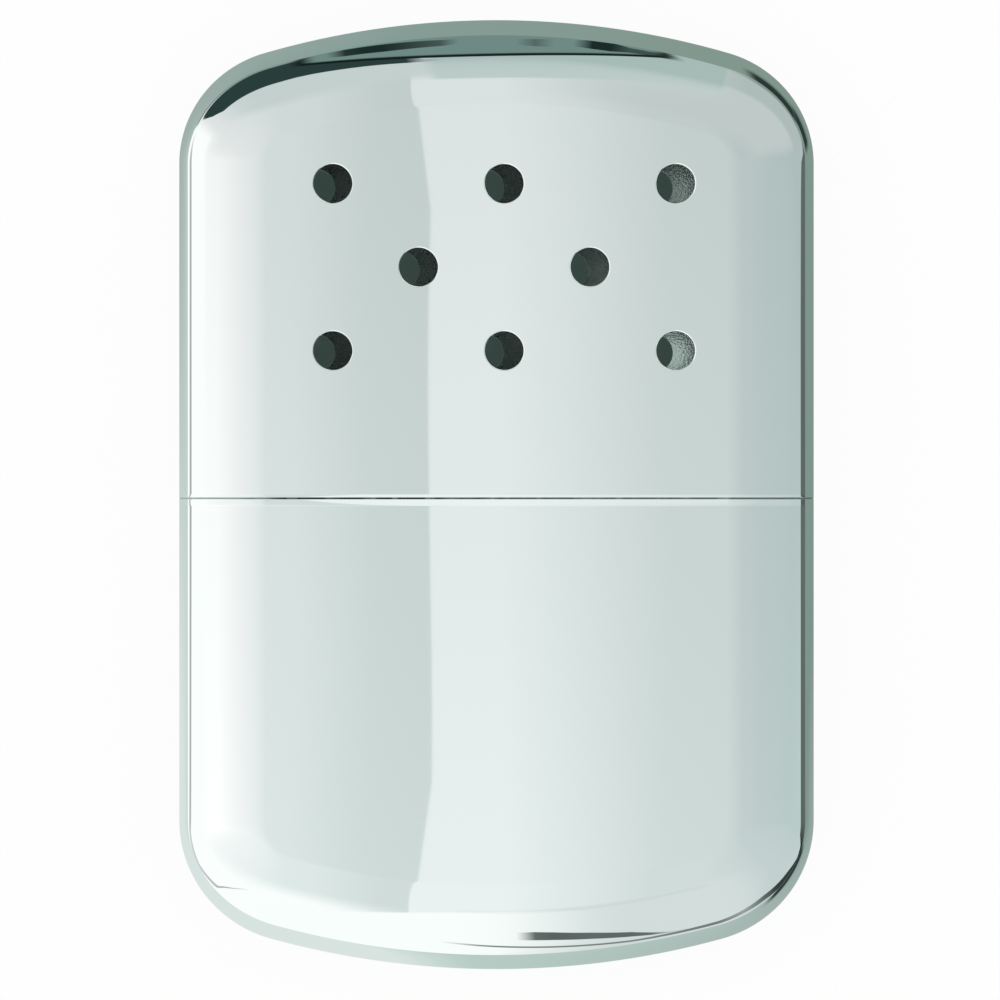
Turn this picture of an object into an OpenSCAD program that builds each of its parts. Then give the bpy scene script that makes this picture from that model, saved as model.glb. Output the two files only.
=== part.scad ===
// Catalytic hand warmer, lying on its back: a drawn lid with air vents slides off a drawn fuel
// tank, and a small burner clips over the tank's oblong mouth.
// X runs across the case, Y along it with the lid towards +Y, and Z up through its thickness.

/* [Case] */
// Width of the closed case
case_w = 66; // [62:0.5:72]
// Thickness of the closed case
case_t = 13; // [13:0.5:16]
// Height of the tank, from its foot end to the seam
tank_h = 49.1; // [46:0.1:58]
// Height of the lid, from the seam to its crown end
lid_h = 49.9; // [48:0.1:58]
// Thickness of the drawn sheet
sheet = 0.5; // [0.4:0.05:0.6]

/* [Outline] */
// Radius of the arch across the lid's end
lid_arch_r = 87; // [75:1:120]
// Radius of the lid's corners
lid_corner_r = 12.1; // [10:0.1:15]
// Radius of the arch across the tank's end
tank_arch_r = 89; // [75:1:120]
// Radius of the tank's corners
tank_corner_r = 12.9; // [10:0.1:15]

/* [Edges and faces] */
// Radius of the edges along the two straight sides
side_edge_r = 3.2; // [2:0.1:4]
// Radius of the edge round the lid's end
lid_edge_r = 5.8; // [4:0.1:6]
// Radius of the edge round the tank's end
tank_edge_r = 5.4; // [4:0.1:6]
// Width of the crowned border round the flat of each face
border = 9; // [8:0.1:9.5]
// How far the flat of each face stands above its edges
crown = 0.45; // [0.2:0.05:0.5]

/* [Vents] */
// Diameter of an air vent
vent_d = 4; // [3:0.1:5]
// Distance between the vents of a row
vent_pitch = 17.76; // [15:0.1:19]
// Distance between the rows
row_pitch = 8.66; // [7:0.1:9]
// Height of the lowest row above the seam
first_row = 15.3; // [15.3:0.1:17]
// How far the front vents stand to the right of the middle
front_shift = 0.8; // [0:0.1:1.5]
// The same for the back vents, seen from the back
back_shift = 1.2; // [0:0.1:1.5]

/* [Deck and mouth] */
// Height of the deck above the seam
collar_h = 4.5; // [3.5:0.1:4.5]
// Gap between the collar and the lid that slides over it
lid_fit = 0.1; // [0.05:0.01:0.1]
// Length of the oblong mouth
mouth_l = 30; // [28:0.5:32]
// Width of the oblong mouth
mouth_w = 7.6; // [7:0.1:8]
// Height of the mouth above the deck
mouth_h = 2.4; // [2:0.1:2.4]

/* [Burner] */
// Height of the burner's top above the seam
burner_top = 12.8; // [12:0.1:12.8]
// Thickness of the burner's sheet
burner_sheet = 0.4; // [0.3:0.05:0.4]
// Gap between the burner's skirt and the mouth
burner_fit = 0.05; // [0.02:0.01:0.1]
// Number of windows along each side of the burner
window_count = 4; // [2:1:5]

/* [Hidden] */

// The seam lies where the closed case is centred along Y
seam_y = (tank_h - lid_h) / 2;
half_t = case_t / 2;

// Each end of the case: height, arch radius, corner radius, end edge radius
LID = [lid_h, lid_arch_r, lid_corner_r, lid_edge_r];
TANK = [tank_h, tank_arch_r, tank_corner_r, tank_edge_r];

// Facets along a corner, an arch, an edge and a crowned border
corner_steps = 12;
arch_steps = 12;
edge_steps = 7;
border_steps = 4;

// Parts of a round hole or round end
$fn = 64;

// Deck: depth of its skirt inside the tank, and the radius of its top edge
skirt_depth = 4;
deck_edge_r = 1;
deck_edge_steps = 5;
// Grip bumps that the lid rides over: radius, how far they stand out, and their places along X
bump_r = 6;
bump_rise = 0.04;
bump_x = 14;

// Mouth: wall and flange of its ferrule, and the pierced grille just inside its lip
ferrule_t = 0.4;
flange_w = 1.4;
grille_t = 0.4;
grille_depth = 0.4;
grille_slots = 7;
mouth_top = collar_h + mouth_h;
flange_top = collar_h - sheet;

// Soft fill: gap to the walls, gap between the wads, and height of the wads above the seam
fill_gap = 0.9;
wad_gap = 0.4;
wad_top = 3;
wad_w = (case_w - 2 * sheet) / 3;

// Burner: the skirt's bore goes over the mouth, and its shelf lands on the mouth's lip
skirt_gap = 0.1;
bead_w = 0.4;
bead_h = 0.5;
shelf_lip = 2;
cage_inset = 0.4;
cap_boss_h = 0.3;
shelf_top = mouth_top + burner_sheet;
cap_bottom = burner_top - burner_sheet;
skirt_l = mouth_l + 2 * (burner_fit + burner_sheet);
skirt_w = mouth_w + 2 * (burner_fit + burner_sheet);
cage_l = skirt_l - 2 * cage_inset;
cage_w = skirt_w - 2 * cage_inset;
cage_straight = cage_l - cage_w;
window_pitch = cage_straight / window_count;
window_w = window_pitch - 1;
window_h = cap_bottom - shelf_top - 1.4;
end_window_w = 3;
cap_slots = 5;

// Wire gauze: pitch of its wires, size of its gaps and thickness
gauze_pitch = 1.3;
gauze_gap = 0.9;
gauze_t = 0.25;
mat_gap = 0.1;

chrome = [0.80, 0.84, 0.84];
nickel = [0.70, 0.69, 0.64];
wire = [0.55, 0.55, 0.52];
cotton = [0.93, 0.92, 0.88];
felt = [0.86, 0.84, 0.78];
catalyst = [0.36, 0.36, 0.37];

function smooth(w) = w * w * (3 - 2 * w);

// Half of the case's outline, from the right end of the seam over the arch to the left end.
// Each point is [x, y, direction it faces, how far the edge has grown from side to end]
function outline(end, foot) =
    let (
        arch_r = end[1],
        corner_r = end[2],
        corner_x = case_w / 2 - corner_r,
        arch_y = end[0] - arch_r,
        corner_y = arch_y + sqrt(pow(arch_r - corner_r, 2) - pow(corner_x, 2)),
        span = asin(corner_x / (arch_r - corner_r)),
        turn = 90 - span
    )
    [
        [case_w / 2, foot, 0, 0],
        for (i = [0 : corner_steps])
            let (a = turn * i / corner_steps)
            [corner_x + corner_r * cos(a), corner_y + corner_r * sin(a), a, i / corner_steps],
        for (i = [1 : arch_steps - 1])
            let (a = turn + 2 * span * i / arch_steps)
            [arch_r * cos(a), arch_y + arch_r * sin(a), a, 1],
        for (i = [0 : corner_steps])
            let (a = 90 + span + turn * i / corner_steps)
            [-corner_x + corner_r * cos(a), corner_y + corner_r * sin(a), a, 1 - i / corner_steps],
        [-case_w / 2, foot, 180, 0]
    ];

// Section from the edge's middle up to the flat of the face, as [distance in, height] pairs:
// an arc round the edge, then a shallow parabola that meets it and the flat without a corner
function half_section(edge_r, inset) =
    let (
        r = max(edge_r - inset, 0.4),
        face = half_t - inset,
        slope = atan(2 * crown / (border - inset - r)),
        centre = face - crown - r * cos(slope),
        lip = inset + r * (1 - sin(slope))
    )
    [
        for (j = [0 : edge_steps])
            let (a = (90 - slope) * j / edge_steps)
            [inset + r * (1 - cos(a)), centre + r * sin(a)],
        for (j = [1 : border_steps])
            let (t = j / border_steps)
            [lip + (border - lip) * t, face - crown * pow(1 - t, 2)]
    ];

// The whole section, from the flat of the back round the edge to the flat of the front
function section(edge_r, inset) =
    let (
        half = half_section(edge_r, inset),
        last = len(half) - 1
    )
    [
        for (j = [0 : last]) [half[last - j][0], -half[last - j][1]],
        for (j = [0 : last]) half[j]
    ];

// Triangles of a wall between neighbouring rings of points, each ring of count points. A closed
// ring also has a wall from its last point to its first
function wall(rings, count, closed = false) =
    [
        for (i = [0 : rings - 2], j = [0 : count - (closed ? 1 : 2)], half = [0, 1])
            let (
                a = i * count + j,
                b = i * count + (j + 1) % count
            )
            half == 0 ? [a, b + count, a + count] : [a, b, b + count]
    ];

// One end of the case as a solid, inset from its outer skin, with its foot on the seam
module case_end(end, inset = 0, foot = 0) {
    rim = outline(end, foot);
    columns = len(rim);
    rows = len(section(side_edge_r, inset));
    points = [
        for (p = rim)
            let (edge_r = side_edge_r + (end[3] - side_edge_r) * smooth(p[3]))
            for (s = section(edge_r, inset))
                [p[0] - s[0] * cos(p[2]), p[1] - s[0] * sin(p[2]), s[1]]
    ];
    back = [for (i = [0 : columns - 1]) i * rows];
    front = [for (i = [0 : columns - 1]) (columns - i) * rows - 1];
    cap = [
        for (j = [0 : rows - 1]) rows - 1 - j,
        for (j = [0 : rows - 1]) (columns - 1) * rows + j
    ];
    polyhedron(points, concat(wall(columns, rows), [back, front, cap]));
}

// A solid with the case's section, through a list of [height above the seam, inset] steps
module case_sleeve(steps) {
    count = 2 * len(section(side_edge_r, 0));
    points = [
        for (step = steps)
            let (s = section(side_edge_r, step[1]))
            each [
                for (p = s) [case_w / 2 - p[0], step[0], p[1]],
                for (p = s) [p[0] - case_w / 2, step[0], -p[1]]
            ]
    ];
    top = (len(steps) - 1) * count;
    polyhedron(points, concat(
        wall(len(steps), count, closed = true),
        [[for (j = [0 : count - 1]) count - 1 - j], [for (j = [0 : count - 1]) top + j]]
    ));
}

// Stands a child's seam plane at the seam, at half the case's thickness
module at_seam() {
    translate([0, seam_y, half_t]) children();
}

// Extrudes a flat child along the case between two heights above the seam
module along_case(from, to) {
    at_seam()
        translate([0, from, 0])
            rotate([-90, 0, 0])
                linear_extrude(to - from) children();
}

// A slot with round ends
module oblong(l, w) {
    square([l - w, w], center = true);
    for (side = [-1, 1])
        translate([side * (l - w) / 2, 0]) circle(d = w);
}

// A row of equal slots across the middle
module slot_row(count, pitch, l, w) {
    for (i = [0 : count - 1])
        translate([(i - (count - 1) / 2) * pitch, 0])
            rotate(l > w ? 0 : 90) oblong(max(l, w), min(l, w));
}

// The gaps of a square wire gauze that fit on a strip
module gauze_gaps(l, w) {
    columns = floor((l - gauze_gap) / gauze_pitch);
    rows = floor((w - gauze_gap) / gauze_pitch);
    for (i = [0 : columns - 1], j = [0 : rows - 1])
        translate([(i - (columns - 1) / 2) * gauze_pitch, (j - (rows - 1) / 2) * gauze_pitch])
            square(gauze_gap, center = true);
}

// The three rows of vents through one face, drilled from the middle of the case outwards
module vents(shift) {
    for (row = [0 : 2], i = [0 : row == 1 ? 1 : 2])
        translate([shift + (i - (row == 1 ? 0.5 : 1)) * vent_pitch, first_row + row * row_pitch, 0])
            cylinder(d = vent_d, h = case_t);
}

// Drawn lid, open at the seam, with vents through both faces
module lid_shell() {
    color(chrome)
        at_seam()
            difference() {
                case_end(LID);
                case_end(LID, sheet, -1);
                vents(front_shift);
                rotate([0, 180, 0]) vents(back_shift);
            }
}

// Drawn fuel tank, open at the seam
module tank_shell() {
    color(chrome)
        at_seam()
            mirror([0, 1, 0])
                difference() {
                    case_end(TANK);
                    case_end(TANK, sheet, -1);
                }
}

// Insert that closes the tank: its skirt is soldered inside the shell, its collar guides the lid
module tank_deck() {
    collar = sheet + lid_fit;
    inner = collar + sheet;
    inner_r = deck_edge_r - sheet / 2;
    outside = [
        [-skirt_depth, sheet],
        [0, sheet],
        [0, collar],
        for (k = [0 : deck_edge_steps])
            let (a = 90 * k / deck_edge_steps)
            [collar_h - deck_edge_r * (1 - sin(a)), collar + deck_edge_r * (1 - cos(a))]
    ];
    inside = [
        [-skirt_depth - 1, inner],
        for (k = [0 : deck_edge_steps])
            let (a = 90 * k / deck_edge_steps)
            [flange_top - inner_r * (1 - sin(a)), inner + inner_r * (1 - cos(a))]
    ];
    color(chrome) {
        difference() {
            at_seam() case_sleeve(outside);
            at_seam() case_sleeve(inside);
            along_case(0, case_t) oblong(mouth_l, mouth_w);
        }
        for (face = [-1, 1], side = [-1, 1])
            grip_bump(side * bump_x, face);
    }
}

// A shallow round bump pressed out of the collar, which the lid grips
module grip_bump(x, face) {
    surface = half_t - sheet - lid_fit;
    translate([x, seam_y + collar_h / 2, half_t])
        rotate([face > 0 ? 0 : 180, 0, 0])
            intersection() {
                translate([0, 0, surface + bump_rise - bump_r]) sphere(bump_r);
                translate([0, 0, surface - sheet / 2]) cylinder(d = 2, h = sheet);
            }
}

// Oblong ferrule: its flange sits under the deck and its tube is the mouth
module mouth_ferrule() {
    color(nickel)
        difference() {
            union() {
                along_case(flange_top - ferrule_t, flange_top)
                    oblong(mouth_l + 2 * flange_w, mouth_w + 2 * flange_w);
                along_case(flange_top, mouth_top) oblong(mouth_l, mouth_w);
            }
            along_case(0, case_t) mouth_bore();
        }
}

module mouth_bore() {
    oblong(mouth_l - 2 * ferrule_t, mouth_w - 2 * ferrule_t);
}

// Slotted plate pressed into the mouth, which keeps the wick down
module mouth_grille() {
    slot_l = mouth_w - 2 * ferrule_t - 2;
    color(nickel)
        along_case(mouth_top - grille_depth - grille_t, mouth_top - grille_depth)
            difference() {
                mouth_bore();
                slot_row(grille_slots, mouth_l / (grille_slots + 1), 1.8, slot_l);
            }
}

// Felt wick that fills the mouth from the wadding up to the grille
module wick_pad() {
    color(felt)
        along_case(wad_top, mouth_top - grille_depth - grille_t)
            oblong(mouth_l - 2 * ferrule_t - 0.2, mouth_w - 2 * ferrule_t - 0.2);
}

// One of the three wads of cotton that hold the fuel, side by side in the tank
module wad(place) {
    color(cotton)
        at_seam()
            intersection() {
                mirror([0, 1, 0]) case_end(TANK, sheet + lid_fit + fill_gap, -wad_top);
                translate([place * wad_w, 0, 0])
                    cube([wad_w - wad_gap, 2 * tank_h, case_t], center = true);
            }
}

module wadding_left() wad(-1);

module wadding_middle() wad(0);

module wadding_right() wad(1);

// The burner's foot: a skirt that clips over the mouth, with a bead to grip and a shelf
module burner_skirt() {
    foot = collar_h + skirt_gap;
    color(nickel)
        difference() {
            union() {
                along_case(foot, shelf_top) oblong(skirt_l, skirt_w);
                along_case(foot, foot + bead_h) oblong(skirt_l + 2 * bead_w, skirt_w + 2 * bead_w);
            }
            along_case(0, mouth_top) oblong(mouth_l + 2 * burner_fit, mouth_w + 2 * burner_fit);
            along_case(0, case_t) oblong(mouth_l - 2 * shelf_lip, mouth_w - 2 * shelf_lip);
        }
}

// Windowed cage on the shelf, open at its foot and top
module burner_cage() {
    middle = (shelf_top + cap_bottom) / 2;
    color(nickel)
        difference() {
            along_case(shelf_top, cap_bottom) oblong(cage_l, cage_w);
            along_case(0, case_t) oblong(cage_l - 2 * burner_sheet, cage_w - 2 * burner_sheet);
            at_seam()
                for (i = [0 : window_count - 1])
                    translate([(i - (window_count - 1) / 2) * window_pitch, middle, 0])
                        cube([window_w, window_h, case_t], center = true);
            at_seam()
                translate([0, middle, 0])
                    cube([case_w / 2 + cage_l / 2, window_h, end_window_w], center = true);
        }
}

// Pressed cap that closes the cage, with a raised middle and a row of slots
module burner_cap() {
    color(nickel)
        difference() {
            union() {
                along_case(cap_bottom, burner_top) oblong(cage_l, cage_w);
                along_case(burner_top, burner_top + cap_boss_h) oblong(cage_l - 3, cage_w - 3);
            }
            along_case(0, 2 * case_t)
                slot_row(cap_slots, cage_l / (cap_slots + 0.6), 3.4, 1.6);
        }
}

// Wire gauze on the shelf, which lets vapour up through it and holds the mat
module floor_gauze() {
    color(wire)
        along_case(shelf_top, shelf_top + gauze_t)
            difference() {
                oblong(cage_l - 2 * burner_sheet - 0.4, cage_w - 2 * burner_sheet - 0.4);
                gauze_gaps(cage_l - cage_w + gauze_pitch, cage_w - 2 * burner_sheet);
            }
}

// Wire gauze behind the windows of one side
module window_gauze(face) {
    bottom = shelf_top + gauze_t + 0.1;
    top = cap_bottom - 0.1;
    wall_z = cage_w / 2 - burner_sheet;
    color(wire)
        translate([0, seam_y + (bottom + top) / 2, half_t + (face > 0 ? wall_z - gauze_t : -wall_z)])
            linear_extrude(gauze_t)
                difference() {
                    square([cage_straight, top - bottom], center = true);
                    gauze_gaps(cage_straight, top - bottom);
                }
}

module window_gauze_front() window_gauze(1);

module window_gauze_back() window_gauze(-1);

// Glass-fibre mat that carries the catalyst, standing on the floor gauze
module catalyst_mat() {
    width = cage_w - 2 * (burner_sheet + gauze_t + mat_gap);
    color(catalyst)
        along_case(shelf_top + gauze_t, cap_bottom - mat_gap)
            oblong(cage_l - 2 * burner_sheet - 0.6, width);
}

lid_shell();
tank_shell();
tank_deck();
mouth_ferrule();
mouth_grille();
wick_pad();
wadding_left();
wadding_middle();
wadding_right();
burner_skirt();
burner_cage();
burner_cap();
floor_gauze();
window_gauze_front();
window_gauze_back();
catalyst_mat();
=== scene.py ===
# %% [markdown]
# # A chrome hand warmer on a white table
#
# This lesson dresses a catalytic hand warmer: two drawn and chromed shells, a lid with air vents
# and a fuel tank, and under the lid a deck, an oblong mouth, and a burner with its glass-fibre mat.
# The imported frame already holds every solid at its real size. Here each one gets the skin that the
# eye sees, in the same place, and then the studio that a mirror finish needs around it.
#
# X runs across the case, Y along it towards the lid, Z out of its front. Lengths are in metres.

# %% Load the frame
import math

import bmesh
import bpy
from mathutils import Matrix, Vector, noise


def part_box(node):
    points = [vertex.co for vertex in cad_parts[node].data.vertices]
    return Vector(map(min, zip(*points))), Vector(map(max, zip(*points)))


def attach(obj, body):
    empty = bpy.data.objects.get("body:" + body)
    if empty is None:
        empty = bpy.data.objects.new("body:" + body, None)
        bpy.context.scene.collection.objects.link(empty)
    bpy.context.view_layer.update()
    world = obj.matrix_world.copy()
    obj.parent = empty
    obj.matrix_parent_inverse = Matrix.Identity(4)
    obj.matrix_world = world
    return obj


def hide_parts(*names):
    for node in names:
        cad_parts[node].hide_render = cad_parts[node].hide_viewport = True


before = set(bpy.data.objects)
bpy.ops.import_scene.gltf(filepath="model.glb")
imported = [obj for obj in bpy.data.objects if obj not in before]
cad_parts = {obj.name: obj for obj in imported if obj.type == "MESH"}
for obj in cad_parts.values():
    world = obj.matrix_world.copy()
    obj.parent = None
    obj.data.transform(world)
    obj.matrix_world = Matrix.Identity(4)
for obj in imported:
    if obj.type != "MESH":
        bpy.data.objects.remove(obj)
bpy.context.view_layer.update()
bpy.ops.object.select_all(action="DESELECT")

# %% [markdown]
# ## Sizes
#
# The frame's boxes say where the case and its seam are. The radii of the outline and the edges
# can't be read from a box, so they stand here as named lengths, in millimetres.

# %% Sizes of the case
MM = 0.001
lid_low, lid_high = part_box("lid_shell")
tank_low, tank_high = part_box("tank_shell")
seam_y = lid_low.y
mid_z = (lid_low.z + lid_high.z) / 2
half_w = (lid_high.x - lid_low.x) / 2
half_t = (lid_high.z - lid_low.z) / 2

SHEET = 0.5 * MM
SIDE_EDGE_R = 3.2 * MM
BORDER = 9 * MM
CROWN = 0.45 * MM
LID = {"height": lid_high.y - seam_y, "arch_r": 87 * MM, "corner_r": 12.1 * MM, "edge_r": 5.8 * MM}
TANK = {"height": seam_y - tank_low.y, "arch_r": 89 * MM, "corner_r": 12.9 * MM, "edge_r": 5.4 * MM}
print("seam at", round(seam_y / MM, 2), "mm; half width", round(half_w / MM, 2), "mm")

# %% [markdown]
# ## The camera
#
# The photo looks straight at the front of the case, so the camera hangs straight above it. The back
# vents, seen through the front ones, are displaced by their depth, and that parallax puts the
# camera about 0.77 m away. A long lens then frames the case.

# %% Camera
CAMERA_HEIGHT = 0.770
PIXELS_PER_MM = 9.576
CASE_CENTRE_PX = (496.5, 494.5)
FRAME_PX = 1000

camera_data = bpy.data.cameras.new("camera")
camera = bpy.data.objects.new("camera", camera_data)
bpy.context.collection.objects.link(camera)
bpy.context.scene.camera = camera
camera.location = (
    (FRAME_PX / 2 - CASE_CENTRE_PX[0]) / PIXELS_PER_MM * MM,
    (CASE_CENTRE_PX[1] - FRAME_PX / 2) / PIXELS_PER_MM * MM,
    lid_high.z + CAMERA_HEIGHT,
)
frame_width = FRAME_PX / PIXELS_PER_MM * MM
camera_data.sensor_width = 36
camera_data.lens = camera_data.sensor_width * (CAMERA_HEIGHT + half_t) / frame_width
camera_data.clip_start = 0.01
camera_data.clip_end = 10
bpy.context.scene.view_settings.view_transform = "Standard"
print("lens", round(camera_data.lens, 1), "mm")


# %% [markdown]
# ## One helper for nodes, one for colours
#
# Every material and the studio are node trees. One small function adds a node, sets it up and links
# what goes into it, so that a tree reads like a recipe. Colours are written as sRGB hex values, the
# way a paint chip is, and turned to the linear values that light is counted in.

# %% Helpers for node trees
def linear(hex_colour):
    channels = [int(hex_colour[i:i + 2], 16) / 255 for i in (1, 3, 5)]
    return [c / 12.92 if c <= 0.04045 else ((c + 0.055) / 1.055) ** 2.4 for c in channels] + [1.0]


def add(tree, kind, settings=None, inputs=None):
    made = tree.nodes.new("ShaderNode" + kind)
    for name, value in (settings or {}).items():
        setattr(made, name, value)
    for name, value in (inputs or {}).items():
        if isinstance(value, bpy.types.NodeSocket):
            tree.links.new(value, made.inputs[name])
        else:
            made.inputs[name].default_value = value
    return made


print("white is", linear("#FFFFFF"))

# %% [markdown]
# ## The studio
#
# A mirror has no colour of its own: what we see in it is the studio. A photographer builds that
# from panels and cards, and so does this world. Only glossy rays see them. Diffuse light comes from
# a plain white sky, and the camera sees plain white.
#
# Two panels hang overhead and meet in a clean edge: a dim one to the left that brightens outwards,
# and a bright one to the right that fades outwards. The flat of the case mirrors only a few degrees
# of them, its borders the rest. Each panel is a ramp over the angle across the case. Past the two
# ends the panels fan out, at the rate that the arched ends spread their reflections, so the tones
# run straight up the face to its ends.

# %% Overhead panels
PLATE = "#F6FBFA"
PANEL_REACH = 24.0
FLAT_ALONG = math.radians(3.7)
FAN = 8.9
LEFT_PANEL = [
    (0.0, "#C6D2D0"), (1.0, "#CAD6D4"), (1.6, "#D6E1E0"), (3.7, "#E1E9E8"), (9.5, "#EEF2F1"),
    (15.0, "#FAFDFC"), (24.0, "#FAFFFE"),
]
RIGHT_PANEL = [
    (0.0, "#E2EBEA"), (0.6, "#D8E2E1"), (1.3, "#CAD6D4"), (5.8, "#BDCAC9"), (17.0, "#B5C6C5"),
    (24.0, "#B4C5C2"),
]

world = bpy.data.worlds.new("studio")
bpy.context.scene.world = world
world.use_nodes = True
sky = world.node_tree
sky.nodes.clear()

direction = add(sky, "TexCoord").outputs["Generated"]
compass = add(sky, "SeparateXYZ", inputs={0: direction})
east, north, up = (compass.outputs[axis] for axis in "XYZ")
across = add(sky, "Math", {"operation": "ARCTAN2"}, {0: east, 1: up}).outputs[0]
along = add(sky, "Math", {"operation": "ARCTAN2"}, {0: north, 1: up}).outputs[0]
far_along = add(sky, "Math", {"operation": "ABSOLUTE"}, {0: along})
past_flat = add(sky, "Math", {"operation": "SUBTRACT", "use_clamp": True}, {
    0: far_along.outputs[0], 1: FLAT_ALONG})
fan = add(sky, "Math", {"operation": "MULTIPLY_ADD"}, {0: past_flat.outputs[0], 1: FAN, 2: 1.0})
fanned = add(sky, "Math", {"operation": "DIVIDE"}, {0: across, 1: fan.outputs[0]}).outputs[0]


def tone_ramp(tree, factor, stops):
    """A colour ramp over the factor, with stops of place and hex tone, or of place and plain values."""
    node = add(tree, "ValToRGB", inputs={0: factor})
    marks = node.color_ramp.elements
    marks.remove(marks[0])
    for number, (at, tone) in enumerate(stops):
        mark = marks[0] if number == 0 else marks.new(at)
        mark.position = at
        mark.color = linear(tone) if isinstance(tone, str) else tone
    return node.outputs["Color"]


panels = []
for panel, reach in ((LEFT_PANEL, -PANEL_REACH), (RIGHT_PANEL, PANEL_REACH)):
    place = add(sky, "MapRange", inputs={
        "Value": fanned, "From Min": 0.0, "From Max": math.radians(reach)})
    stops = [(degrees / PANEL_REACH, tone) for degrees, tone in panel]
    panels.append(tone_ramp(sky, place.outputs[0], stops))
print("panels of", len(LEFT_PANEL), "and", len(RIGHT_PANEL), "tones")

# %% [markdown]
# The edge between the panels stands a little left of the middle, and steps further left at both
# ends. Both panels are a little dimmer towards the lid's end.

# %% The edge between the panels
EDGE_AT = math.radians(-0.555)
EDGE_STEP = math.radians(-0.2)
EDGE_SOFT = math.radians(0.012)
STEP_FROM, STEP_TO = math.radians(2.2), math.radians(3.8)
DIM_ANGLE = math.radians(4)
FOOT_LIGHT, LID_LIGHT = 1.07, 0.91

step = add(sky, "MapRange", inputs={
    "Value": far_along.outputs[0], "From Min": STEP_FROM, "From Max": STEP_TO,
    "To Min": EDGE_AT, "To Max": EDGE_AT + EDGE_STEP})
past_edge = add(sky, "Math", {"operation": "SUBTRACT"}, {0: fanned, 1: step.outputs[0]})
side = add(sky, "MapRange", {"interpolation_type": "SMOOTHSTEP"}, {
    "Value": past_edge.outputs[0], "From Min": -EDGE_SOFT, "From Max": EDGE_SOFT})
overhead = add(sky, "Mix", {"data_type": "RGBA"}, {
    "Factor": side.outputs[0], "A": panels[0], "B": panels[1]})
dim = add(sky, "MapRange", inputs={
    "Value": along, "From Min": -DIM_ANGLE, "From Max": DIM_ANGLE, "To Min": FOOT_LIGHT, "To Max": LID_LIGHT})
dimmed = add(sky, "VectorMath", {"operation": "SCALE"}, {
    0: overhead.outputs["Result"], "Scale": dim.outputs[0]})
studio = dimmed.outputs[0]

# %% [markdown]
# Lower down, cards stand round the case. Each is laid over the sky where two soft windows meet: one
# round its bearing, counted from +X towards +Y, and one between two angles from straight up.

# %% Cards
from_top = add(sky, "Math", {"operation": "ARCCOSINE"}, {0: up}).outputs[0]
bearing = add(sky, "Math", {"operation": "ARCTAN2"}, {0: north, 1: east}).outputs[0]
level = add(sky, "VectorMath", {"operation": "MULTIPLY"}, {0: direction, 1: (1, 1, 0)})
heading = add(sky, "VectorMath", {"operation": "NORMALIZE"}, {0: level.outputs[0]})


def window(tree, value, low, high, soft):
    """1 between low and high, with edges as wide as soft, all in the value's own unit."""
    rise, fall = [add(tree, "MapRange", {"interpolation_type": "SMOOTHSTEP"}, {
        "Value": value, "From Min": at - way * soft / 2, "From Max": at + way * soft / 2,
    }).outputs[0] for at, way in ((low, 1), (high, -1))]
    return add(tree, "Math", {"operation": "MULTIPLY"}, {0: rise, 1: fall}).outputs[0]


def angles(value, low, high, soft):
    """A window of the sky over an angle in radians, with its limits given in degrees."""
    return window(sky, value, math.radians(low), math.radians(high), math.radians(soft))


def lay(mask, colour, name):
    """Lays a colour over the studio where the mask is 1."""
    global studio
    laid = add(sky, "Mix", {"data_type": "RGBA"}, {"Factor": mask, "A": studio, "B": linear(colour)})
    laid.label = name
    studio = laid.outputs["Result"]


# name, tone, bearing, half width, nearest and furthest from straight up, softness of both
CARDS = [
    ("upper right", "#BFCAC8", 50, 30, 9, 120, 8, 20),
    ("lower right", "#ADBBB9", 45, 34, 46, 120, 12, 10),
    ("foot side", "#D3DEDC", -72, 12, 16, 120, 3, 24),
    ("upper left", "#C3D0CD", 102, 24, 20, 120, 6, 30),
    ("left tent", "#FAFFFD", 204, 57, 20, 120, 8, 14),
    ("corner rim", "#7E908C", 125, 26, 85, 120, 4, 6),
]

ALL_ROUND = 999
for name, colour, toward, half, near, far, soft, side_soft in CARDS:
    way = (math.cos(math.radians(toward)), math.sin(math.radians(toward)), 0)
    facing = add(sky, "VectorMath", {"operation": "DOT_PRODUCT"}, {0: heading.outputs[0], 1: way})
    aside = add(sky, "Math", {"operation": "ARCCOSINE"}, {0: facing.outputs["Value"]})
    wide = angles(aside.outputs[0], -ALL_ROUND, half, side_soft)
    high = angles(from_top, near, far, soft)
    lay(add(sky, "Math", {"operation": "MULTIPLY"}, {0: wide, 1: high}).outputs[0], colour, name)
print("studio of", len(CARDS), "cards")

# %% [markdown]
# Dark flags and gaps stand between the panels and the table. Each is a band that wanders round the
# horizon, drawn as a short list of stops: bearing, angle from straight up, half thickness, and how
# dark it is. A ramp over the bearing carries the three values in its red, green and blue.

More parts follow.
